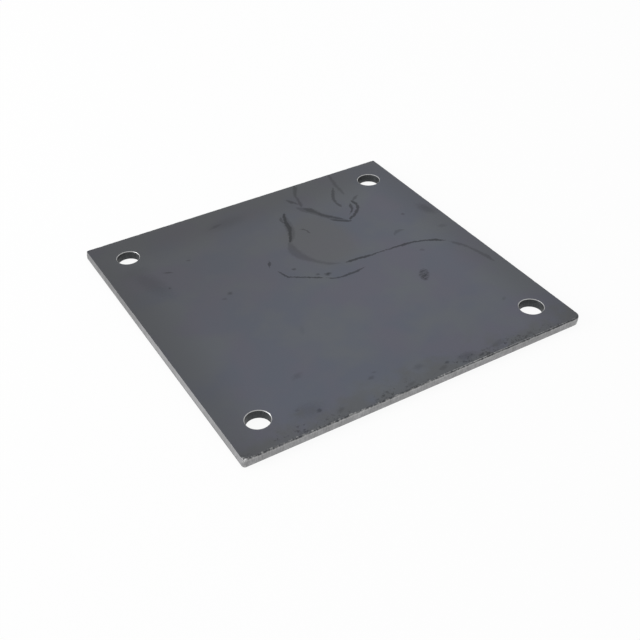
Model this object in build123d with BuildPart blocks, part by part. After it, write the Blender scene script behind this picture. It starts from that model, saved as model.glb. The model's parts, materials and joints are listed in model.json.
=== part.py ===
from build123d import *
import os

os.makedirs("parts", exist_ok=True)

# Square cover plate, sheared from hot-rolled steel plate and punched near each corner.
# The origin is the centre of the underside. Seen over the front corner, +X runs along the right hand
# edge and +Y along the left hand edge, so the corners are named front, right, back and left.
# All sizes are in millimetres.

# The blank, measured over its cut edges
length = 254.0
width = 254.0
thickness = 6.35

# The cut edges: the blade bends the skin over, burnishes a straight land, and tears the rest
roll_radius = 1.0
land_height = 2.2
tear_setback = 0.5

# The corners, worn unequally
front_corner_radius = 2.0
right_corner_radius = 5.0
back_corner_radius = 1.5
left_corner_radius = 2.0

# The bolt holes, each given from the edges of the blank to its centre. They are punched from below: the
# punch leaves a straight land, and above it the steel tears out to the wider die
hole_diameter = 15.875
hole_mouth_diameter = 17.4
hole_tear_angle = 24.0
hole_to_low_x_edge = 23.5
hole_to_high_x_edge = 21.5
hole_to_low_y_edge = 26.0
hole_to_high_y_edge = 25.5
rim_chamfer = 0.3

# Worked out from the sizes above
mid_height = thickness / 2
hole_pitch_x = length - hole_to_low_x_edge - hole_to_high_x_edge
hole_pitch_y = width - hole_to_low_y_edge - hole_to_high_y_edge
pattern_x = (hole_to_low_x_edge - hole_to_high_x_edge) / 2
pattern_y = (hole_to_low_y_edge - hole_to_high_y_edge) / 2

# One section lies across the low and high X edges, the other across the low and high Y edges.
# Both are seen with the edge that was cut from above on their right, and have their middle at z = mid_height.
section_across_x = Plane(origin=(0, 0, mid_height), x_dir=(1, 0, 0), z_dir=(0, -1, 0))
section_across_y = Plane(origin=(0, 0, mid_height), x_dir=(0, -1, 0), z_dir=(-1, 0, 0))

with BuildPart() as plate:
    # The outline with its worn corners
    with BuildSketch() as outline:
        Rectangle(length, width)
        for x_side, y_side, radius in (
            (-1, -1, front_corner_radius),
            (1, -1, right_corner_radius),
            (1, 1, back_corner_radius),
            (-1, 1, left_corner_radius),
        ):
            corner_point = (x_side * length / 2, y_side * width / 2)
            corner = outline.vertices().sort_by_distance(corner_point)[0]
            fillet(corner, radius)
    extrude(amount=thickness)

    # The cut edges. A blank is held for its first cut and dropped by the next one, so its two ends are
    # the same shape turned half round: rolled over on top at one end and underneath at the other.
    for section_plane, span, run in (
        (section_across_x, length, width),
        (section_across_y, width, length),
    ):
        half = span / 2
        land_end = mid_height - roll_radius - land_height
        with BuildSketch(section_plane) as section:
            with BuildLine() as skin:
                for side in (1, -1):
                    roll = CenterArc(
                        (side * (half - roll_radius), side * (mid_height - roll_radius)),
                        roll_radius,
                        start_angle=0 if side == 1 else 180,
                        arc_size=90,
                    )
                    cut = Polyline(
                        roll @ 0,
                        (side * half, side * land_end),
                        (side * (half - tear_setback), -side * mid_height),
                    )
                    Line(cut @ 1, (-side * (half - roll_radius), -side * mid_height))
            make_face()
        extrude(amount=run / 2, both=True, mode=Mode.INTERSECT)

    # The bolt holes, with the sharp edge taken off both rims
    with Locations((pattern_x, pattern_y, thickness)):
        with GridLocations(hole_pitch_x, hole_pitch_y, 2, 2):
            CounterSinkHole(
                radius=hole_diameter / 2,
                counter_sink_radius=hole_mouth_diameter / 2,
                counter_sink_angle=hole_tear_angle,
            )
    circles = plate.edges(Select.LAST).filter_by(GeomType.CIRCLE)
    chamfer(circles.group_by(Axis.Z)[-1], length=rim_chamfer)
    chamfer(circles.group_by(Axis.Z)[0], length=rim_chamfer)

plate.part.label = "plate"
export_step(plate.part, "parts/plate.step")
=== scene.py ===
"""Looks of a square steel cover plate, sheared and punched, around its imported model.

The shapes are in metres. The patterns and marks of the materials are in millimetres.
"""
import json
import math

import bmesh
import bpy
from mathutils import Matrix, Vector, noise


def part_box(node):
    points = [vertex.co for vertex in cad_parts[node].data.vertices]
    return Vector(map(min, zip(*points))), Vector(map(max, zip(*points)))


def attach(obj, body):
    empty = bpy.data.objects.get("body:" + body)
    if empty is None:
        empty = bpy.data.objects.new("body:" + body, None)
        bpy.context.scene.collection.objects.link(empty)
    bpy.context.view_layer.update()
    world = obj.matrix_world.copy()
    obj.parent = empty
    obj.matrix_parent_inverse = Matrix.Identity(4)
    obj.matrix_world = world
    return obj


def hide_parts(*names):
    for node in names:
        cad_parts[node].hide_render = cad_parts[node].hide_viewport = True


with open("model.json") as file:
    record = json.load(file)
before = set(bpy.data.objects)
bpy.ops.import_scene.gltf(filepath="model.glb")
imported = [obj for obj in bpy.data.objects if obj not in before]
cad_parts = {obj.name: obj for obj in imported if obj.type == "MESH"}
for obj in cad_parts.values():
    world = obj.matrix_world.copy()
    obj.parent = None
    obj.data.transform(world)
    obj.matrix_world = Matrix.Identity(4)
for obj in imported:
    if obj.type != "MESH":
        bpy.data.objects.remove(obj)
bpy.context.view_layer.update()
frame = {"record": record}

MM = 0.001

# The plate and its bolt holes, read from the frame
plate_low, plate_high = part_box("plate")
LENGTH, WIDTH, THICKNESS = plate_high - plate_low
BOLT_HOLES = next(mount for mount in frame["record"]["mounts"] if mount["name"] == "corner_holes")
HOLE_RADIUS = BOLT_HOLES["dims"]["hole_r_mm"] * MM

# The same plate in millimetres, for the patterns: how far it reaches from its middle, and its top
REACH_X = LENGTH / 2 / MM
REACH_Y = WIDTH / 2 / MM
TOP = THICKNESS / MM

# The sheared edges, the worn corners and the punched holes, as in the solid. The mouths tore out unequally
ROLL_RADIUS = 1.0 * MM
LAND_HEIGHT = 2.2 * MM
TEAR_SETBACK = 0.5 * MM
CORNER_RADII = {(-1, -1): 2.0 * MM, (1, -1): 5.0 * MM, (1, 1): 1.5 * MM, (-1, 1): 2.0 * MM}
MOUTH_RADII = {(-1, -1): 8.15 * MM, (1, -1): 8.55 * MM, (1, 1): 8.8 * MM, (-1, 1): 8.2 * MM}
MOUTH_TEAR_ANGLE = math.radians(12)
RIM_CHAMFER = 0.3 * MM

# How finely the edges are modelled. A shelf is the strip of a flat face next to an edge, and the arris is
# the small bevel under a torn face
EDGE_PITCH = 0.5 * MM
CORNER_STEPS = 10
ROLL_STEPS = 5
LAND_STEPS = 3
TEAR_STEPS = 6
BORE_STEPS = 6
HOLE_SEGMENTS = 96
SHELF = 0.35 * MM
ARRIS = 0.12 * MM
SHARP_ANGLE = math.radians(32)

# How much of a direction has to lie along an axis for an edge to count as straight, or a face as level
ALONG_AXIS = 0.99
LEVEL = 0.9999

# Wear on the edges, and a painted highlight. How bare a point is of mill scale runs from 0 to 1. The flakes
# are fractal noise, given by its roughness, growth and octaves, and the painted highlight is a line of bare,
# bright metal along one row of the roll
ROLL_BARENESS = 0.34
WEAR_HEIGHT = 1.6 * MM
FLAKE_DEPTH = 0.12 * MM
FLAKE_REACH = 0.3 * MM
FLAKE_LENGTH = 2.6 * MM
FLAKE_NOISE = (0.7, 2.1, 4)
FLAKE_CONTRAST = 1.8
FLAKE_THRESHOLD = 0.25
FLAKE_BARENESS = 0.3
FLAKES_THIN_OUT = 60 * MM
FLAKED_ELSEWHERE = 0.4
# The painted highlight: a thin line of bare, bright metal along the front edge's roll
HIGHLIGHT_ROW = 2
HIGHLIGHT_START = -10 * MM
HIGHLIGHT_GROWTH = 40 * MM
HIGHLIGHT_BREAKS = 6 * MM
HIGHLIGHT_EVEN_SHARE = 0.75
HIGHLIGHT_BROKEN_SHARE = 0.3
HIGHLIGHT_BARENESS = 0.85
TEAR_DEPTH = 0.11 * MM
TEAR_WIDTH = 0.9 * MM
TEAR_HEIGHT = 4.5 * MM
KNOCK_REACH = 5.0 * MM
KNOCK_DEPTH = 0.9 * MM
KNOCK_INWARDS = 0.6
KNOCK_FALL = 1.6
KNOCK_GRAIN = 0.9 * MM
KNOCK_ROUGHNESS = 0.45
KNOCK_BARENESS = 1.4
SCRAPED_RING = 0.2 * MM
RIM_WAVE = 5 * MM
RIM_UNEVENNESS = 0.12

# The slots of the materials that follow the skin's, and how a face is told to belong to a hole and its rim
SHEARED, BORE, RIM = range(1, 4)
ROUND_HOLE = 1.5 * HOLE_RADIUS
RIM_SLOPE = 0.5

# The sizes of the patterns, in millimetres. The grain of the scale and the scores of blade and punch are
# finer than a pixel on the real plate, so they are drawn as coarse as they need to show
CLOUD = 42
DULL_PATCH = 16
SCALE_GRAIN = 0.9
FLAKE = 1.5
SPECK = 1.9
SPECK_CLUSTER = 24
TIDE_WANDER = 3.5
TIDE_BEAD = 1.6
SCRUB_STROKE = (5, 1.1, 1)
SHEAR_SCORE = (0.7, 0.7, 5)
SHEAR_BLOTCH = 9
PUNCH_SCORE = (0.9, 0.9, 4)
RIM_CHATTER = 1.1

# Tide lines left by water on the top face, traced in millimetres from the plate's middle. Each line is
# (darkness, softness, points), and each point (x, y, breadth). A line tapers off towards an end of no
# breadth. The two that start with a breadth come from the back edge
TIDE_LINES = {
    "left run": (0.74, 1.1, [
        (25.5, 99, 0), (21.5, 91.5, 1.7), (18.5, 85, 2.6), (16.6, 79, 3.4), (16, 74, 3.6),
        (14.3, 69.5, 3.0), (11.8, 64.5, 2.4), (9.3, 59.5, 2.2), (6.8, 56, 1.2), (4.3, 53, 0),
    ]),
    "left run's shade": (0.28, 2.2, [
        (26, 99, 0), (20, 88, 3.5), (17, 78, 6.0), (15, 70, 6.0), (11, 61, 4.0), (6, 52, 0),
    ]),
    "left run's side": (0.45, 0.8, [(19.8, 93, 0), (16.5, 88, 1.7), (15.5, 83.5, 1.5), (15, 77, 0)]),
    "left run's fade": (0.27, 3.0, [
        (8, 59, 0), (4.2, 51, 6), (3.2, 42, 8), (5.4, 33, 6), (9.5, 25, 3.5), (14, 19, 3), (20, 14, 2.4),
        (30, 10.5, 0),
    ]),
    "long wave": (0.68, 0.9, [
        (24, 12.2, 0), (31, 10.8, 2.1), (36, 10.5, 2.6), (41, 10, 2.3), (47, 9.2, 1.8), (52, 9, 1.2),
        (58, 8.6, 1.0), (64, 8.6, 1.3), (70, 8.2, 1.7), (76, 7.6, 2.5), (82, 7, 1.9), (88, 5.2, 1.9),
        (93, 3.4, 2.0), (98, 1.2, 2.5), (102, -1.6, 2.4), (108, -6.5, 0),
    ]),
    "long wave's fall": (0.34, 1.6, [
        (104, -3, 0), (110, -12, 3.0), (113, -18, 1.8), (115.5, -26, 2.0), (117, -33, 2.8),
        (118.3, -40, 2.6), (118, -49, 0),
    ]),
    "lip's start": (0.62, 0.5, [(-23.5, 31.5, 0), (-22, 34.8, 0.7), (-18.6, 41.6, 0.8), (-17, 45, 0)]),
    "lip's left": (0.64, 0.6, [
        (-19.8, 32, 0), (-18.8, 25, 1.3), (-17.5, 20.5, 1.5), (-16, 17, 1.4), (-12, 14.3, 1.4),
        (-7.5, 11.2, 1.3), (-2, 7.4, 1.5), (2, 4.8, 1.9), (6, 2.2, 0),
    ]),
    "lip's right": (0.62, 0.7, [
        (3, 4.2, 0), (8, 0.2, 1.2), (13, -2.3, 1.4), (20, -2.8, 1.8), (26, -2.6, 1.9), (32, -2, 1.7),
        (41, -0.9, 0),
    ]),
    "upper left": (0.42, 1.8, [
        (51, 127, 1.0), (46.5, 118.5, 3.4), (43.5, 113, 2.2), (41.3, 104, 1.9), (39.8, 98, 2.4),
        (38, 89, 0),
    ]),
    "fork's left": (0.60, 1.1, [
        (37.5, 93, 0), (41.5, 87, 5.0), (44, 81.5, 3.0), (46, 76, 3.4), (48.5, 72, 3.4), (51.5, 68.5, 2.6),
        (55, 64, 2.2), (60, 57, 0),
    ]),
    "fork's shade": (0.34, 2.2, [
        (33, 98, 0), (37.5, 91, 5), (41.5, 86, 7), (45, 78, 5), (50, 69, 4.5), (56, 61, 3.5), (62, 54, 0),
    ]),
    "upper left's smudge": (0.50, 1.4, [(33, 113, 0), (34.5, 107, 2.6), (37, 102, 2.2), (39.5, 96, 0)]),
    "fork's floor": (0.66, 1.1, [
        (45, 69, 0), (50, 64.5, 1.9), (55, 60, 2.4), (59, 57.3, 2.2), (63, 56.2, 0),
    ]),
    "fork's right": (0.66, 0.9, [
        (58.5, 56, 0), (63.5, 60.3, 2.5), (67.5, 62.5, 2.5), (71.5, 66, 2.3), (75, 69.5, 2.5),
        (76.8, 73.5, 2.2), (76.8, 78, 3.0), (76.5, 84.5, 0),
    ]),
    "fork's inner right": (0.60, 0.8, [
        (61, 62.3, 0), (67, 67, 1.4), (70, 69.8, 1.8), (72, 75, 2.3), (75.5, 83, 0),
    ]),
    "fork's spur": (0.40, 1.2, [(75, 80, 0), (80, 82.8, 2.4), (83, 85, 2.1), (89, 87, 0)]),
    "right finger": (0.34, 1.8, [
        (82, 127, 1.2), (80.3, 117, 2.6), (78.5, 109, 2.8), (77.7, 102, 2.2), (77.2, 96, 2.0), (74, 88, 0),
    ]),
    "left finger": (0.50, 1.2, [
        (77, 112, 0), (72, 102, 2.0), (68, 95.5, 2.3), (65.6, 90, 2.3), (64.8, 85, 2.0), (65.1, 81, 2.4),
        (64.6, 75, 0),
    ]),
    "little hook": (0.42, 0.7, [
        (19.5, 67.8, 0), (22.5, 66.8, 1.2), (24.6, 64, 1.2), (25.2, 60, 1.0), (24.4, 54, 0),
    ]),
    "far hook": (0.28, 1.6, [(75.5, 19, 0), (80.5, 24.6, 3.0), (84.5, 25.3, 2.8), (90, 22.6, 0)]),
}

# Every breadth but 0 has this much added, so that past its ends a line stays well below its threshold
TIDE_SLACK = 4.0

# Single spots and smears on the top face: (x, y, half length, half breadth, turn in degrees, darkness)
SPOTS = [
    (-30, 105, 8, 1.7, 12, 0.36), (-22, 105, 19, 7, 5, 0.14), (-86.5, 68.2, 3.8, 1.0, -28, 0.5),
    (-67.5, 74.6, 1.6, 1.4, 0, 0.4), (-93.3, 50, 1.3, 1.1, 0, 0.5), (-102, 62, 22, 8, 105, 0.18),
    (-106, 80, 12, 9, 0, 0.10), (-60, 22, 2.4, 1.9, 20, 0.45), (-66.5, 18, 1.7, 1.3, 0, 0.28),
    (-8.4, 23.5, 1.9, 1.2, -30, 0.52), (3, 8.8, 1.8, 1.2, -30, 0.45), (9.3, 5.5, 2.9, 1.9, 0, 0.70),
    (83, -5.2, 2.1, 1.6, -20, 0.24), (99.5, 43.2, 1.6, 1.5, 0, 0.38), (119, 40, 10, 5, 105, 0.28),
    (115, 13.5, 3.8, 2.6, -20, 0.18), (-64, -79, 4.4, 2.6, 20, 0.20), (95.5, -84, 2.8, 1.3, 35, 0.20),
    (-38, -40, 5, 2, 65, 0.10), (-26, -105, 2.4, 1.5, 20, 0.30), (-21.5, -101.5, 1.7, 1.2, 0, 0.24),
    (-79.5, -106.5, 2.2, 1.7, 0, 0.24), (-68.5, -113.5, 2.4, 1.7, 30, 0.50), (-73, -110, 11, 7, 0, 0.14),
    (5, -112, 3.8, 2.6, 0, 0.24), (22.8, -118, 1.6, 1.1, 30, 0.50), (18, -121, 3.4, 1.7, 20, 0.26),
    (37, -119.5, 7, 3.6, 0, 0.28), (62, -120, 6, 2.6, 10, 0.22), (86, -122.5, 2.4, 1.4, 0, 0.30),
    (-57, -120, 3.2, 1.7, 25, 0.26), (-8, -123, 4.5, 1.6, 10, 0.22), (-31, 105, 6, 2.2, 12, 0.35),
]

# The patch of crossed scratches right of the middle: its place, turn, half sizes and the turns of its strokes
SCRUBBED_PLACE = (66.5, -31.5, 0)
SCRUBBED_TURN = math.radians(58)
SCRUBBED_SIZE = (7.0, 3.6, 1)
SCRUB_TURNS = (25, 118)

# The puddle that stood between the tide lines: its place, turn and half sizes. It has no height of its own
PUDDLE_PLACE = (29, 48, 0)
PUDDLE_TURN = math.radians(-12)
PUDDLE_SIZE = (25, 40, 1e6)

# The camera: its place and its aim in millimetres, its roll and its lens
CAMERA_PLACE = (-289.6, -504.7, 422.0)
CAMERA_AIM = (-22.8, -37.5, 6.35)
CAMERA_ROLL = math.radians(-1.58)
CAMERA_LENS = 57.2

# The floor and the light. Each lamp is (place, size, power), in metres and watts
FLOOR_REACH = 4.0
FLOOR_GAP = 0.02 * MM
FLOOR_WHITE_SHARE = 0.92
ROOM_LIGHT = 0.6
LAMPS = {
    "high_softbox": ((0.45, 0.75, 1.5), 1.0, 5.0),
    "left_softbox": ((-1.3, 0.6, 0.52), 1.0, 16.0),
}

# Settings of the Mix node: to go from one colour to another, and to darken or lighten a colour
COLOURS = {"data_type": "RGBA"}
SHADES = {"data_type": "RGBA", "blend_type": "MULTIPLY"}


def sheared_section():
    """Rows of a cut edge that is rolled over on top, from the top face down, as (inset, drop, bare): how far
    each lies inside the outline and under the top face, and how bare of mill scale it is."""
    land_end = ROLL_RADIUS + LAND_HEIGHT
    rows = [(ROLL_RADIUS + SHELF, 0, 0)]
    for step in range(ROLL_STEPS + 1):
        turn = math.pi / 2 * step / ROLL_STEPS
        inset = ROLL_RADIUS * (1 - math.sin(turn))
        drop = ROLL_RADIUS * (1 - math.cos(turn))
        rows.append((inset, drop, ROLL_BARENESS * (step / ROLL_STEPS) ** 3))
    for step in range(1, LAND_STEPS + 1):
        rows.append((0, ROLL_RADIUS + LAND_HEIGHT * step / LAND_STEPS, 1))
    for step in range(1, TEAR_STEPS + 1):
        share = step / TEAR_STEPS
        rows.append((TEAR_SETBACK * share, land_end + (THICKNESS - ARRIS - land_end) * share, 1))
    rows.append((TEAR_SETBACK + ARRIS, THICKNESS, 0))
    rows.append((TEAR_SETBACK + ARRIS + SHELF, THICKNESS, 0))
    return rows


def bore_section(mouth_radius):
    """Rows of a punched hole, from the top face down, as (inset, drop, bare): the ring scraped round its
    mouth, the broken rim, the torn cone, the straight land and the lower rim."""
    mouth = mouth_radius - HOLE_RADIUS
    tear_height = mouth / math.tan(MOUTH_TEAR_ANGLE)
    rows = [(mouth + RIM_CHAMFER + SCRAPED_RING, 0, 0), (mouth + RIM_CHAMFER, 0, 1)]
    for step in range(BORE_STEPS + 1):
        drop = RIM_CHAMFER + (tear_height - RIM_CHAMFER) * step / BORE_STEPS
        rows.append((mouth * (1 - drop / tear_height), drop, 1))
    rows.append((0, THICKNESS - RIM_CHAMFER, 1))
    rows.append((RIM_CHAMFER, THICKNESS, 0))
    rows.append((RIM_CHAMFER + SHELF, THICKNESS, 0))
    return rows


def turned_over(rows):
    """The same section turned half round, so that its roll lies underneath."""
    return [(inset, THICKNESS - drop, bare) for inset, drop, bare in reversed(rows)]


def outward_at(place):
    """The direction that the outline faces at one of its points."""
    x_side, y_side = math.copysign(1, place.x), math.copysign(1, place.y)
    radius = CORNER_RADII[x_side, y_side]
    past_x = max(0, place.x * x_side - LENGTH / 2 + radius) * x_side
    past_y = max(0, place.y * y_side - WIDTH / 2 + radius) * y_side
    return Vector((past_x, past_y, 0)).normalized()


def draw_outline(bm):
    """Draws the plate's outline on its top face, with rounded corners and close points. Returns its edges."""
    size = Matrix.Translation((0, 0, THICKNESS)) @ Matrix.Diagonal((LENGTH, WIDTH, 1, 1))
    bmesh.ops.create_grid(bm, x_segments=1, y_segments=1, size=0.5, matrix=size)
    for (x_side, y_side), radius in CORNER_RADII.items():
        corner = min(bm.verts, key=lambda v: -v.co.x * x_side - v.co.y * y_side)
        bmesh.ops.bevel(
            bm, geom=[corner], offset=radius, offset_type="OFFSET", affect="VERTICES",
            segments=CORNER_STEPS, profile=0.5, material=-1,
        )
    bmesh.ops.delete(bm, geom=bm.faces[:], context="FACES_ONLY")
    for edge in [e for e in bm.edges if e.calc_length() > max(CORNER_RADII.values())]:
        bmesh.ops.subdivide_edges(bm, edges=[edge], cuts=round(edge.calc_length() / EDGE_PITCH) - 1)
    return bm.edges[:]


def draw_hole(bm, centre):
    """Draws one hole's circle on the top face and returns its edges."""
    circle = bmesh.ops.create_circle(
        bm, cap_ends=False, radius=HOLE_RADIUS, segments=HOLE_SEGMENTS,
        matrix=Matrix.Translation((centre.x, centre.y, THICKNESS)),
    )
    return list({edge for vert in circle["verts"] for edge in vert.link_edges})


def pull_wall(bm, loop, row_count):
    """Pulls a closed loop of edges down, row by row, and returns the loops from the first to the last."""
    loops = [loop]
    for row in range(row_count):
        grown = bmesh.ops.extrude_edge_only(bm, edges=loops[-1])["geom"]
        verts = [part for part in grown if isinstance(part, bmesh.types.BMVert)]
        bmesh.ops.translate(bm, verts=verts, vec=(0, 0, -THICKNESS / row_count))
        loops.append([part for part in grown if isinstance(part, bmesh.types.BMEdge) and part.is_boundary])
    return loops


def flaking(start, outward):
    """How much mill scale has flaked off an edge at one point, from 0 to 1: most along the left half of the
    front edge, and none on the rounded corners."""
    if max(abs(outward.x), abs(outward.y)) <= ALONG_AXIS:
        return 0
    share = FLAKED_ELSEWHERE
    if outward.y < -ALONG_AXIS:
        rightwards = min(1, max(0, start.x / FLAKES_THIN_OUT))
        share += (1 - FLAKED_ELSEWHERE) * (1 - rightwards)
    patches = noise.fractal(start / FLAKE_LENGTH, *FLAKE_NOISE)
    return share * min(1, max(0, FLAKE_CONTRAST * patches - FLAKE_THRESHOLD))


def painted_highlight(start, outward, row):
    """A painted highlight on the front edge's roll: how far the skin is made bare in one thin line that grows
    rightwards.
    """
    if row != HIGHLIGHT_ROW or outward.y >= -ALONG_AXIS:
        return 0
    grown = min(1, max(0, (start.x - HIGHLIGHT_START) / HIGHLIGHT_GROWTH))
    broken = HIGHLIGHT_EVEN_SHARE + HIGHLIGHT_BROKEN_SHARE * noise.noise(start / HIGHLIGHT_BREAKS)
    return HIGHLIGHT_BARENESS * grown * broken


def knock(start, drop):
    """How strongly the knock on the front corner has moved a point, from 0 to 1."""
    corner = Vector((-LENGTH / 2, -WIDTH / 2, 0))
    reach = (Vector((start.x, start.y, -drop)) - corner).length / KNOCK_REACH
    rough = 1 + KNOCK_ROUGHNESS * noise.noise(Vector((start.x, start.y, drop)) / KNOCK_GRAIN)
    return max(0, 1 - reach) ** KNOCK_FALL * rough


def shape_edge(rows, home, bare, loops):
    """Gives every point of the outer wall its place in the sheared section, with its wear."""
    rows_under = turned_over(rows)
    for row, loop in enumerate(loops):
        on_face = row in (0, len(loops) - 1)
        for vert in {v for edge in loop for v in edge.verts}:
            start = vert[home]
            outward = outward_at(start)
            # The front and right hand edges are rolled over on top, the others underneath
            on_top = max(0, -outward.y) ** 2 + max(0, outward.x) ** 2
            inset, drop, strip = (
                over * on_top + under * (1 - on_top) for over, under in zip(rows[row], rows_under[row])
            )
            near_top = max(0, 1 - drop / WEAR_HEIGHT)
            lost = 0 if on_face else flaking(start, outward) * near_top
            torn = noise.noise(Vector((start.x / TEAR_WIDTH, start.y / TEAR_WIDTH, drop / TEAR_HEIGHT)))
            hit = knock(start, drop)
            inset += FLAKE_REACH * lost + (TEAR_DEPTH * (0.5 + 0.5 * torn) if strip == 1 else 0)
            drop += FLAKE_DEPTH * lost
            vert.co = start - outward * (inset + KNOCK_INWARDS * KNOCK_DEPTH * hit)
            vert.co.z = max(0, THICKNESS - drop - KNOCK_DEPTH * hit * near_top)
            # Real wear, with the painted highlight line on the front roll added in
            wear_and_highlight = FLAKE_BARENESS * lost + KNOCK_BARENESS * hit * near_top + painted_highlight(start, outward, row)
            vert[bare] = 0 if on_face else min(1, strip + wear_and_highlight)


def shape_bore(rows, home, bare, loops, centre):
    """Gives every point of a hole's wall its place. The rims were broken by hand and aren't quite even."""
    for (inset, drop, strip), loop in zip(rows, loops):
        for vert in {v for edge in loop for v in edge.verts}:
            into_steel = (vert[home].xy - centre).normalized().to_3d()
            uneven = 1 + RIM_UNEVENNESS * noise.noise(vert[home] / RIM_WAVE)
            vert.co = vert[home] + into_steel * inset * uneven
            vert.co.z = THICKNESS - drop
            vert[bare] = strip


def choose_finishes(bm, bare, centres):
    """Gives the cut faces, the bores and the broken rims their own materials. The rest keeps the skin."""
    for face in bm.faces:
        if abs(face.normal.z) > ALONG_AXIS:
            continue
        place = face.calc_center_median().xy
        if min((place - centre).length for centre in centres) < ROUND_HOLE:
            face.material_index = RIM if abs(face.normal.z) > RIM_SLOPE else BORE
        elif min(vert[bare] for vert in face.verts) == 1:
            face.material_index = SHEARED


def model_plate():
    """Models the whole plate: two faces, the sheared edges all round, and four punched holes."""
    bm = bmesh.new()
    home = bm.verts.layers.float_vector.new("home")
    bare = bm.verts.layers.float.new("bare")
    edge_rows = sheared_section()
    bores = [bore_section(mouth_radius) for mouth_radius in MOUTH_RADII.values()]
    outline = draw_outline(bm)
    middle = Vector(BOLT_HOLES["pos_m"]).xy
    pitch = Vector((BOLT_HOLES["dims"]["spacing_x_mm"], BOLT_HOLES["dims"]["spacing_y_mm"])) * MM
    centres = [middle + Vector((x_side * pitch.x, y_side * pitch.y)) / 2 for x_side, y_side in MOUTH_RADII]
    rings = [draw_hole(bm, centre) for centre in centres]
    for vert in bm.verts:
        vert[home] = vert.co
    bmesh.ops.triangle_fill(bm, edges=bm.edges[:], use_beauty=True, normal=(0, 0, 1))

    walls = [pull_wall(bm, outline, len(edge_rows) - 1)]
    walls += [pull_wall(bm, ring, len(rows) - 1) for ring, rows in zip(rings, bores)]
    lowest = [edge for loops in walls for edge in loops[-1]]
    bmesh.ops.triangle_fill(bm, edges=lowest, use_beauty=True, normal=(0, 0, -1))
    shape_edge(edge_rows, home, bare, walls[0])
    for rows, centre, loops in zip(bores, centres, walls[1:]):
        shape_bore(rows, home, bare, loops, centre)
    bmesh.ops.recalc_face_normals(bm, faces=bm.faces[:])
    bm.normal_update()
    choose_finishes(bm, bare, centres)

    mesh = bpy.data.meshes.new("plate_steel")
    bm.to_mesh(mesh)
    bm.free()
    mesh.attributes.remove(mesh.attributes["home"])
    # The level faces stay flat, because smooth shading would streak their long triangles
    mesh.set_sharp_from_angle(angle=SHARP_ANGLE)
    for face in mesh.polygons:
        face.use_smooth = abs(face.normal.z) < LEVEL
    piece = bpy.data.objects.new("plate_steel", mesh)
    bpy.context.collection.objects.link(piece)
    return piece


def linear(hex_colour):
    """An sRGB hex colour as the linear colour that a shader takes."""
    parts = [int(hex_colour[i:i + 2], 16) / 255 for i in (1, 3, 5)]
    return (*(p / 12.92 if p <= 0.04045 else ((p + 0.055) / 1.055) ** 2.4 for p in parts), 1)


def add_node(tree, kind, settings=None, inputs=None):
    """Adds a shader node with its settings, and links or sets its inputs, each named or numbered."""
    made = tree.nodes.new("ShaderNode" + kind)
    for name, value in (settings or {}).items():
        setattr(made, name, value)
    for name, value in (inputs or {}).items():
        if isinstance(value, bpy.types.NodeSocket):
            tree.links.new(value, made.inputs[name])
        else:
            made.inputs[name].default_value = value
    return made


def new_material(name):
    """A material with one Principled shader. Returns it with its tree, its shader and the place on the piece
    in millimetres."""
    material = bpy.data.materials.new(name)
    material.use_nodes = True
    tree = material.node_tree
    tree.nodes.clear()
    shader = add_node(tree, "BsdfPrincipled")
    add_node(tree, "OutputMaterial", inputs={"Surface": shader.outputs[0]})
    place = add_node(tree, "TexCoord").outputs["Object"]
    in_mm = add_node(tree, "VectorMath", {"operation": "SCALE"}, {0: place, "Scale": 1 / MM}).outputs[0]
    return material, tree, shader, in_mm


def tide_line(tree, flat_place, ragged, line):
    """How dark one tide line is at a place: a band round a curve through the line's points."""
    darkness, softness, points = line
    turn = math.atan2(points[-1][1] - points[0][1], points[-1][0] - points[0][0])
    turned = [Matrix.Rotation(-turn, 2) @ Vector((x, y)) for x, y, breadth in points]
    low = Vector((min(p.x for p in turned), min(p.y for p in turned)))
    span = max(max(p.x for p in turned) - low.x, max(p.y for p in turned) - low.y)
    corner = Matrix.Rotation(turn, 2) @ low
    local = add_node(tree, "Mapping", {"vector_type": "TEXTURE"}, {
        "Vector": flat_place,
        "Location": (corner.x, corner.y, 0),
        "Rotation": (0, 0, turn),
        "Scale": (span, span, 1),
    })
    parts = add_node(tree, "SeparateXYZ", inputs={0: local.outputs[0]})
    middles = [(p.x - low.x, p.y - low.y) for p in turned]
    breadths = [
        (p.x - low.x, breadth + TIDE_SLACK if breadth else 0) for p, (x, y, breadth) in zip(turned, points)
    ]
    curves = []
    for heights in (middles, breadths):
        curve = add_node(tree, "FloatCurve", inputs={"Value": parts.outputs[0]})
        knots = curve.mapping.curves[0].points
        for knot, (along, height) in zip((knots[0], knots[1]), (heights[0], heights[-1])):
            knot.location = (along / span, height / span)
        for along, height in heights[1:-1]:
            knots.new(along / span, height / span)
        curve.mapping.extend = "HORIZONTAL"
        curve.mapping.update()
        curves.append(curve.outputs[0])
    off = add_node(tree, "Math", {"operation": "SUBTRACT"}, {0: parts.outputs[1], 1: curves[0]})
    gap = add_node(tree, "Math", {"operation": "ABSOLUTE"}, {0: off.outputs[0]})
    within = add_node(tree, "Math", {"operation": "MULTIPLY_ADD"}, {0: gap.outputs[0], 1: -2, 2: curves[1]})
    frayed = add_node(tree, "Math", {"operation": "MULTIPLY_ADD"}, {
        0: ragged, 1: 1 / span, 2: within.outputs[0],
    })
    return add_node(tree, "MapRange", {"interpolation_type": "SMOOTHSTEP"}, {
        "Value": frayed.outputs[0],
        "From Min": (TIDE_SLACK - softness) / span,
        "From Max": (TIDE_SLACK + softness) / span,
        "To Max": darkness,
    }).outputs[0]


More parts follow.
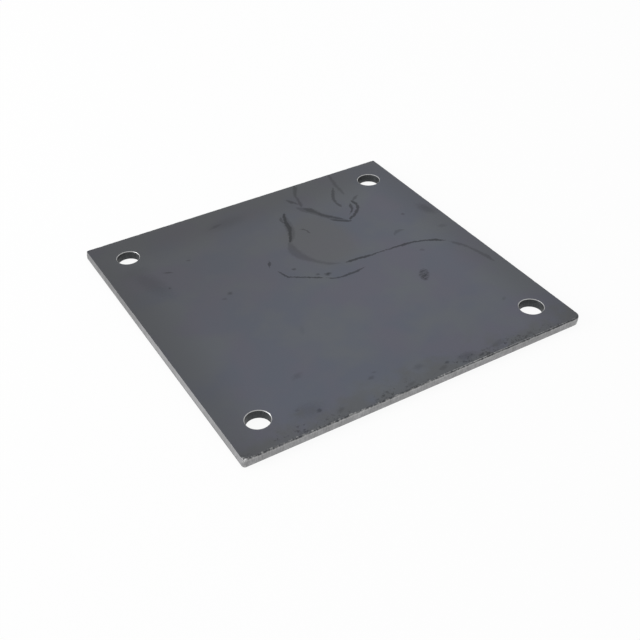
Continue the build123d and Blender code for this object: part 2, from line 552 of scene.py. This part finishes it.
def spot(tree, flat_place, ragged, mark):
    """How dark one spot or smear is at a place."""
    x, y, half_length, half_breadth, turn, darkness = mark
    local = add_node(tree, "Mapping", {"vector_type": "TEXTURE"}, {
        "Vector": flat_place,
        "Location": (x, y, 0),
        "Rotation": (0, 0, math.radians(turn)),
        "Scale": (half_length, half_breadth, 1),
    })
    reach = add_node(tree, "VectorMath", {"operation": "LENGTH"}, {0: local.outputs[0]}).outputs["Value"]
    frayed = add_node(tree, "Math", {"operation": "MULTIPLY_ADD"}, {0: ragged, 1: -0.25, 2: reach})
    return add_node(tree, "MapRange", {"interpolation_type": "SMOOTHSTEP"}, {
        "Value": frayed.outputs[0], "From Min": 1.35, "From Max": 0.2, "To Max": darkness,
    }).outputs[0]


def scrubbed_patch(tree, flat_place):
    """How dark the small patch of crossed scratches right of the middle is at a place."""
    local = add_node(tree, "Mapping", {"vector_type": "TEXTURE"}, {
        "Vector": flat_place,
        "Location": SCRUBBED_PLACE,
        "Rotation": (0, 0, SCRUBBED_TURN),
        "Scale": SCRUBBED_SIZE,
    })
    reach = add_node(tree, "VectorMath", {"operation": "LENGTH"}, {0: local.outputs[0]}).outputs["Value"]
    inside = add_node(tree, "MapRange", {"interpolation_type": "SMOOTHSTEP"}, {
        "Value": reach, "From Min": 1.2, "From Max": 0.7, "To Max": 0.72,
    })
    strokes = []
    for turn in SCRUB_TURNS:
        stretched = add_node(tree, "Mapping", inputs={
            "Vector": flat_place,
            "Rotation": (0, 0, math.radians(turn)),
            "Scale": [1 / size for size in SCRUB_STROKE],
        })
        strokes.append(add_node(tree, "TexNoise", inputs={
            "Vector": stretched.outputs[0], "Scale": 1.0, "Detail": 2.0,
        }).outputs["Fac"])
    crossed = add_node(tree, "Math", {"operation": "MAXIMUM"}, {0: strokes[0], 1: strokes[1]})
    scratches = add_node(tree, "MapRange", inputs={
        "Value": crossed.outputs[0], "From Min": 0.46, "From Max": 0.62, "To Min": 0.2,
    })
    return add_node(tree, "Math", {"operation": "MULTIPLY"}, {
        0: inside.outputs[0], 1: scratches.outputs[0],
    }).outputs[0]


def front_speckle(tree, place):
    """How dark the specks are that lie in clusters along the front edge, and sparsely at the front corner."""
    parts = add_node(tree, "SeparateXYZ", inputs={0: place})
    band = add_node(tree, "MapRange", {"interpolation_type": "SMOOTHSTEP"}, {
        "Value": parts.outputs["Y"],
        "From Min": 24 - REACH_Y,
        "From Max": 4 - REACH_Y,
        "To Min": -0.3,
        "To Max": 0.15,
    })
    sparse = add_node(tree, "MapRange", inputs={
        "Value": parts.outputs["X"], "From Min": 22 - REACH_X, "From Max": 10 - REACH_X, "To Max": -0.12,
    })
    clusters = add_node(tree, "TexNoise", inputs={"Vector": place, "Scale": 1 / SPECK_CLUSTER, "Detail": 2.0})
    specks = add_node(tree, "TexNoise", inputs={
        "Vector": place, "Scale": 1 / SPECK, "Detail": 3.0, "Roughness": 0.65,
    })
    crowded = add_node(tree, "Math", {"operation": "MULTIPLY_ADD"}, {
        0: clusters.outputs["Fac"], 1: 0.8, 2: specks.outputs["Fac"],
    })
    lifted = add_node(tree, "Math", {"operation": "ADD"}, {0: crowded.outputs[0], 1: band.outputs[0]})
    lifted = add_node(tree, "Math", {"operation": "ADD"}, {0: lifted.outputs[0], 1: sparse.outputs[0]})
    return add_node(tree, "MapRange", {"interpolation_type": "SMOOTHSTEP"}, {
        "Value": lifted.outputs[0], "From Min": 1.1, "From Max": 1.26, "To Max": 0.55,
    }).outputs[0]


def top_face_marks(tree, place):
    """All the dark marks that the top face has from water, handling and knocks, as one darkness."""
    # Each mark is drawn at a place that strays a little, so that its sides aren't quite true
    wander = add_node(tree, "TexNoise", inputs={"Vector": place, "Scale": 1 / TIDE_WANDER, "Detail": 3.0})
    shift = add_node(tree, "VectorMath", {"operation": "SUBTRACT"}, {
        0: wander.outputs["Color"], 1: (0.5, 0.5, 0.5),
    })
    strayed = add_node(tree, "VectorMath", {"operation": "MULTIPLY_ADD"}, {
        0: shift.outputs[0], 1: (2.0, 2.0, 0), 2: place,
    })
    flat_place = add_node(tree, "VectorMath", {"operation": "MULTIPLY"}, {
        0: strayed.outputs[0], 1: (1, 1, 0),
    }).outputs[0]
    beads = add_node(tree, "TexNoise", inputs={"Vector": place, "Scale": 1 / TIDE_BEAD, "Detail": 2.0})
    ragged = add_node(tree, "MapRange", inputs={
        "Value": beads.outputs["Fac"], "From Min": 0.3, "From Max": 0.7, "To Min": -0.9, "To Max": 0.9,
    }).outputs[0]
    marks = [tide_line(tree, flat_place, ragged, line) for line in TIDE_LINES.values()]
    marks += [spot(tree, flat_place, ragged, mark) for mark in SPOTS]
    marks += [scrubbed_patch(tree, flat_place), front_speckle(tree, place)]
    darkest = marks[0]
    for mark in marks[1:]:
        darkest = add_node(tree, "Math", {"operation": "MAXIMUM"}, {0: darkest, 1: mark}).outputs[0]
    height = add_node(tree, "SeparateXYZ", inputs={0: place}).outputs["Z"]
    on_top = add_node(tree, "Math", {"operation": "GREATER_THAN"}, {0: height, 1: TOP / 2})
    return add_node(tree, "Math", {"operation": "MULTIPLY"}, {0: darkest, 1: on_top.outputs[0]}).outputs[0]


def sheared_steel(tree, place, dark, light):
    """Bare steel as a shear leaves it: grey between two tones, with fine upright scoring from the blade.
    Returns its colour, its roughness and the height of the scoring."""
    upright = add_node(tree, "Mapping", inputs={"Vector": place, "Scale": [1 / size for size in SHEAR_SCORE]})
    scores = add_node(tree, "TexNoise", inputs={"Vector": upright.outputs[0], "Scale": 1.0, "Detail": 3.0})
    blotches = add_node(tree, "TexNoise", inputs={"Vector": place, "Scale": 1 / SHEAR_BLOTCH, "Detail": 2.0})
    colour = add_node(tree, "Mix", COLOURS, {0: blotches.outputs["Fac"], 6: linear(dark), 7: linear(light)})
    shade = add_node(tree, "MapRange", inputs={
        "Value": scores.outputs["Fac"], "From Min": 0.3, "From Max": 0.7, "To Min": 0.84, "To Max": 1.1,
    })
    scored = add_node(tree, "Mix", SHADES, {0: 1.0, 6: colour.outputs[2], 7: shade.outputs[0]})
    roughness = add_node(tree, "MapRange", inputs={
        "Value": scores.outputs["Fac"], "From Min": 0.3, "From Max": 0.7, "To Min": 0.55, "To Max": 0.42,
    })
    return scored.outputs[2], roughness.outputs[0], scores.outputs["Fac"]


def scale_tint(tree, place):
    """The hue of clean mill scale: a blue-grey, clouded with violet and olive tints."""
    clouds = add_node(tree, "TexNoise", inputs={
        "Vector": place, "Scale": 1 / CLOUD, "Detail": 3.0, "Roughness": 0.5,
    })
    tints = add_node(tree, "SeparateColor", inputs={0: clouds.outputs["Color"]})
    violet = add_node(tree, "MapRange", inputs={"Value": tints.outputs[0], "From Min": 0.42, "From Max": 0.6})
    olive = add_node(tree, "MapRange", inputs={"Value": tints.outputs[1], "From Min": 0.46, "From Max": 0.62})
    tinted = add_node(tree, "Mix", COLOURS, {
        0: violet.outputs[0], 6: linear("#363c4a"), 7: linear("#3b3c4a"),
    })
    tinted = add_node(tree, "Mix", COLOURS, {
        0: olive.outputs[0], 6: tinted.outputs[2], 7: linear("#3c4149"),
    })

    # Where a puddle stood between the tide lines the scale is left a neutral grey
    puddle = add_node(tree, "Mapping", {"vector_type": "TEXTURE"}, {
        "Vector": place,
        "Location": PUDDLE_PLACE,
        "Rotation": (0, 0, PUDDLE_TURN),
        "Scale": PUDDLE_SIZE,
    })
    reach = add_node(tree, "VectorMath", {"operation": "LENGTH"}, {0: puddle.outputs[0]}).outputs["Value"]
    edge = add_node(tree, "Math", {"operation": "MULTIPLY_ADD"}, {0: tints.outputs[2], 1: -1.2, 2: reach})
    stood = add_node(tree, "MapRange", {"interpolation_type": "SMOOTHSTEP"}, {
        "Value": edge.outputs[0], "From Min": 0.7, "From Max": 0.1, "To Max": 0.7,
    })
    tinted = add_node(tree, "Mix", COLOURS, {
        0: stood.outputs[0], 6: tinted.outputs[2], 7: linear("#3a3c40"),
    })

    # Along the front edge the scale is dulled to an olive grey, in patches
    patches = add_node(tree, "TexNoise", inputs={
        "Vector": place, "Scale": 1 / DULL_PATCH, "Detail": 3.0, "Roughness": 0.6,
    })
    backwards = add_node(tree, "SeparateXYZ", inputs={0: place}).outputs["Y"]
    frayed = add_node(tree, "Math", {"operation": "MULTIPLY_ADD"}, {
        0: patches.outputs["Fac"], 1: -50.0, 2: backwards,
    })
    darkened = add_node(tree, "MapRange", {"interpolation_type": "SMOOTHSTEP"}, {
        "Value": frayed.outputs[0], "From Min": -4 - REACH_Y, "From Max": -24 - REACH_Y, "To Max": 0.85,
    })
    return add_node(tree, "Mix", COLOURS, {
        0: darkened.outputs[0], 6: tinted.outputs[2], 7: linear("#34373a"),
    }).outputs[2]


def scale_grain_and_painted_shade(tree, place, grain):
    """How light clean mill scale is next to its plain colour, as a factor: its grain, with painted shade
    along the edges and a painted sheen towards the front.
    """
    # Painted shade: it is darker along every edge but the front one, and broadest along the back
    parts = add_node(tree, "SeparateXYZ", inputs={0: place})
    sideways = add_node(tree, "Math", {"operation": "ABSOLUTE"}, {0: parts.outputs["X"]})
    backwards = add_node(tree, "Math", {"operation": "ADD"}, {0: parts.outputs["Y"], 1: 12.0})
    furthest = add_node(tree, "Math", {"operation": "MAXIMUM"}, {
        0: sideways.outputs[0], 1: backwards.outputs[0],
    })
    painted_margin_shade = add_node(tree, "MapRange", {"interpolation_type": "SMOOTHSTEP"}, {
        "Value": furthest.outputs[0],
        "From Min": REACH_X - 38,
        "From Max": REACH_X,
        "To Min": 1.0,
        "To Max": 0.64,
    })
    # Painted sheen: it is lighter towards the front and right, and darker towards the left and back
    across = add_node(tree, "VectorMath", {"operation": "DOT_PRODUCT"}, {0: place, 1: (-0.55, 0.83, 0)})
    painted_sheen = add_node(tree, "MapRange", {"interpolation_type": "SMOOTHSTEP"}, {
        "Value": across.outputs["Value"], "From Min": -60, "From Max": 150, "To Min": 1.12, "To Max": 0.58,
    })
    tone = add_node(tree, "MapRange", inputs={
        "Value": grain, "From Min": 0.25, "From Max": 0.75, "To Min": 0.92, "To Max": 1.08,
    })
    shade = add_node(tree, "Math", {"operation": "MULTIPLY"}, {0: painted_margin_shade.outputs[0], 1: painted_sheen.outputs[0]})
    toned = add_node(tree, "Math", {"operation": "MULTIPLY"}, {0: shade.outputs[0], 1: tone.outputs[0]})
    return toned.outputs[0]


def stripped_share(tree, place):
    """How far the mill scale is gone at a place, from 0 to 1: wholly on the cut steel, and in flakes along
    the front edge and on the front corner. The bare line of painted highlight on the front roll comes in here
    too."""
    bare = add_node(tree, "Attribute", {"attribute_name": "bare"}).outputs["Fac"]
    flakes = add_node(tree, "TexNoise", inputs={
        "Vector": place, "Scale": 1 / FLAKE, "Detail": 4.0, "Roughness": 0.7,
    })
    # The band of flakes is broad at the front corner and narrows rightwards
    slanted = add_node(tree, "VectorMath", {"operation": "DOT_PRODUCT"}, {0: place, 1: (0.006, 1, 0)})
    front = add_node(tree, "MapRange", inputs={
        "Value": slanted.outputs["Value"],
        "From Min": 2.0 - REACH_Y,
        "From Max": 0.4 - REACH_Y,
        "To Min": -0.35,
        "To Max": 0.2,
    })
    from_corner = add_node(tree, "VectorMath", {"operation": "DISTANCE"}, {
        0: place, 1: (-REACH_X, -REACH_Y, TOP),
    })
    corner = add_node(tree, "MapRange", inputs={
        "Value": from_corner.outputs["Value"],
        "From Min": 6.0,
        "From Max": 1.4,
        "To Min": -0.35,
        "To Max": 0.7,
    })
    near_edge = add_node(tree, "Math", {"operation": "MAXIMUM"}, {0: front.outputs[0], 1: corner.outputs[0]})
    # This bareness carries the painted highlight line on the front roll as well as real wear
    wear_and_highlight = add_node(tree, "Math", {"operation": "ADD"}, {0: bare, 1: near_edge.outputs[0]})
    flaked = add_node(tree, "Math", {"operation": "MULTIPLY_ADD"}, {
        0: flakes.outputs["Fac"], 1: 1.4, 2: wear_and_highlight.outputs[0],
    })
    return add_node(tree, "MapRange", inputs={
        "Value": flaked.outputs[0], "From Min": 0.88, "From Max": 1.36,
    }).outputs[0]


def hot_rolled_skin():
    """Hot-rolled mill scale: a thin, dark blue-grey oxide skin, hard and dull with a faint satin sheen,
    clouded in violet and olive tints and stained by water, with painted shade and sheen across the top. Along
    the edges it is flaked to bare metal, and one bare line on the front roll is a painted highlight."""
    material, tree, shader, place = new_material("hot_rolled_skin")
    grain = add_node(tree, "TexNoise", inputs={
        "Vector": place, "Scale": 1 / SCALE_GRAIN, "Detail": 3.0, "Roughness": 0.7,
    }).outputs["Fac"]
    # The clean scale's colour carries the painted shade and sheen of the top face
    clean = add_node(tree, "Mix", SHADES, {
        0: 1.0, 6: scale_tint(tree, place), 7: scale_grain_and_painted_shade(tree, place, grain),
    })
    marks = top_face_marks(tree, place)
    marked = add_node(tree, "Mix", COLOURS, {0: marks, 6: clean.outputs[2], 7: linear("#0f1013")})
    stripped = stripped_share(tree, place)
    metal, metal_roughness = sheared_steel(tree, place, "#8c8c8c", "#bcbcbc")[:2]
    colour = add_node(tree, "Mix", COLOURS, {0: stripped, 6: marked.outputs[2], 7: metal})
    dull = add_node(tree, "Math", {"operation": "MULTIPLY_ADD"}, {0: marks, 1: 0.15, 2: 0.5})
    roughness = add_node(tree, "Mix", inputs={0: stripped, 2: dull.outputs[0], 3: metal_roughness})
    relief = add_node(tree, "Math", {"operation": "MULTIPLY_ADD"}, {0: stripped, 1: -1.5, 2: grain})
    bump = add_node(tree, "Bump", inputs={
        "Height": relief.outputs[0], "Strength": 0.3, "Distance": 0.05 * MM,
    })
    level = add_node(tree, "MapRange", inputs={"Value": marks, "To Min": 0.5, "To Max": 0.2})
    tree.links.new(colour.outputs[2], shader.inputs["Base Color"])
    tree.links.new(level.outputs[0], shader.inputs["Specular IOR Level"])
    tree.links.new(stripped, shader.inputs["Metallic"])
    tree.links.new(roughness.outputs[0], shader.inputs["Roughness"])
    tree.links.new(bump.outputs[0], shader.inputs["Normal"])
    return material


def sheared_edge():
    """Cold-sheared steel: bare metal that the blade burnished and tore, bright and softly scored, with
    painted shade that darkens it towards the back."""
    material, tree, shader, place = new_material("sheared_edge")
    bright, roughness, height = sheared_steel(tree, place, "#848484", "#a8a8aa")
    backwards = add_node(tree, "SeparateXYZ", inputs={0: place}).outputs["Y"]
    # Painted shade: the cut steel darkens towards the back
    darkened = add_node(tree, "MapRange", {"interpolation_type": "SMOOTHSTEP"}, {
        "Value": backwards, "From Min": 0, "From Max": 50, "To Min": 1.0, "To Max": 0.72,
    })
    colour = add_node(tree, "Mix", SHADES, {0: 1.0, 6: bright, 7: darkened.outputs[0]})
    bump = add_node(tree, "Bump", inputs={"Height": height, "Strength": 0.5, "Distance": 0.06 * MM})
    tree.links.new(colour.outputs[2], shader.inputs["Base Color"])
    tree.links.new(roughness, shader.inputs["Roughness"])
    tree.links.new(bump.outputs[0], shader.inputs["Normal"])
    shader.inputs["Metallic"].default_value = 1.0
    return material


def bore_in_painted_shade():
    """Punched steel in its hole, torn upright by the punch. Its dark grey is painted shade, far darker than
    the same steel on the cut edges.
    """
    material, tree, shader, place = new_material("bore_in_painted_shade")
    upright = add_node(tree, "Mapping", inputs={"Vector": place, "Scale": [1 / size for size in PUNCH_SCORE]})
    scores = add_node(tree, "TexNoise", inputs={"Vector": upright.outputs[0], "Scale": 1.0, "Detail": 3.0})
    # These dark greys are painted shade of the hole
    colour = add_node(tree, "Mix", COLOURS, {
        0: scores.outputs["Fac"], 6: linear("#343638"), 7: linear("#56585a"),
    })
    bump = add_node(tree, "Bump", inputs={
        "Height": scores.outputs["Fac"], "Strength": 0.5, "Distance": 0.05 * MM,
    })
    tree.links.new(colour.outputs[2], shader.inputs["Base Color"])
    tree.links.new(bump.outputs[0], shader.inputs["Normal"])
    shader.inputs["Metallic"].default_value = 0.8
    shader.inputs["Roughness"].default_value = 0.5
    return material


def broken_rim_with_painted_highlight():
    """Freshly cut steel where the rim's sharp edge was taken off: the brightest metal on the plate, its light
    grey partly the steel's own and partly painted highlight of the chamfer.
    """
    material, tree, shader, place = new_material("broken_rim_with_painted_highlight")
    chatter = add_node(tree, "TexNoise", inputs={"Vector": place, "Scale": 1 / RIM_CHATTER, "Detail": 2.0})
    # The light greys are partly painted highlight of the chamfer
    colour = add_node(tree, "Mix", COLOURS, {
        0: chatter.outputs["Fac"], 6: linear("#8e8e8e"), 7: linear("#cacaca"),
    })
    tree.links.new(colour.outputs[2], shader.inputs["Base Color"])
    shader.inputs["Metallic"].default_value = 1.0
    shader.inputs["Roughness"].default_value = 0.4
    return material


def seen_directly(tree):
    """1 where the camera, a reflection or a see-through ray meets a surface, and 0 for bounced light."""
    path = add_node(tree, "LightPath")
    seen = add_node(tree, "Math", {"operation": "ADD"}, {
        0: path.outputs["Is Camera Ray"], 1: path.outputs["Is Glossy Ray"],
    })
    return add_node(tree, "Math", {"operation": "ADD", "use_clamp": True}, {
        0: seen.outputs[0], 1: path.outputs["Is Transmission Ray"],
    }).outputs[0]


def lay_floor():
    """A plain pale floor that shows white, and keeps a soft shadow under the plate."""
    bm = bmesh.new()
    bmesh.ops.create_grid(bm, x_segments=1, y_segments=1, size=FLOOR_REACH)
    mesh = bpy.data.meshes.new("floor")
    bm.to_mesh(mesh)
    bm.free()
    floor = bpy.data.objects.new("floor", mesh)
    # It lies a hair below the plate, so that the two faces don't coincide
    floor.location.z = -FLOOR_GAP
    bpy.context.collection.objects.link(floor)
    material = bpy.data.materials.new("pale_floor")
    material.use_nodes = True
    tree = material.node_tree
    tree.nodes.clear()
    lit = add_node(tree, "BsdfDiffuse", inputs={"Color": linear("#f4f4f4")})
    white = add_node(tree, "Emission", inputs={"Color": linear("#ffffff"), "Strength": 1.0})
    share = add_node(tree, "Math", {"operation": "MULTIPLY"}, {
        0: seen_directly(tree), 1: FLOOR_WHITE_SHARE,
    })
    both = add_node(tree, "MixShader", inputs={0: share.outputs[0], 1: lit.outputs[0], 2: white.outputs[0]})
    add_node(tree, "OutputMaterial", inputs={"Surface": both.outputs[0]})
    mesh.materials.append(material)


def light_room():
    """Plain soft light from all round, white where it is seen, with one large lamp high behind the plate and
    one low on its left."""
    world = bpy.data.worlds.new("pale_room")
    world.use_nodes = True
    bpy.context.scene.world = world
    tree = world.node_tree
    tree.nodes.clear()
    strength = add_node(tree, "MapRange", inputs={
        "Value": seen_directly(tree), "To Min": ROOM_LIGHT, "To Max": 1.0,
    })
    room = add_node(tree, "Background", inputs={
        "Color": linear("#ffffff"), "Strength": strength.outputs[0],
    })
    add_node(tree, "OutputWorld", inputs={"Surface": room.outputs[0]})
    for name, (place, size, power) in LAMPS.items():
        light = bpy.data.lights.new(name, "AREA")
        light.size = size
        light.energy = power
        lamp = bpy.data.objects.new(name, light)
        lamp.location = place
        lamp.rotation_euler = (-Vector(place)).to_track_quat("-Z", "Y").to_euler()
        bpy.context.collection.objects.link(lamp)


def set_camera():
    """The camera at the height and side that the plate is seen from, a little rolled."""
    camera = bpy.data.objects.new("camera", bpy.data.cameras.new("camera"))
    camera.data.lens = CAMERA_LENS
    camera.data.clip_start = 0.01
    place, aim = Vector(CAMERA_PLACE) * MM, Vector(CAMERA_AIM) * MM
    facing = (aim - place).to_track_quat("-Z", "Y").to_matrix() @ Matrix.Rotation(CAMERA_ROLL, 3, "Z")
    camera.matrix_world = Matrix.Translation(place) @ facing.to_4x4()
    bpy.context.collection.objects.link(camera)
    bpy.context.scene.camera = camera


plate = model_plate()
for finish in (hot_rolled_skin, sheared_edge, bore_in_painted_shade, broken_rim_with_painted_highlight):
    plate.data.materials.append(finish())
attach(plate, "root")
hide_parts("plate")

lay_floor()
light_room()
set_camera()
bpy.context.scene.view_settings.view_transform = "Standard"
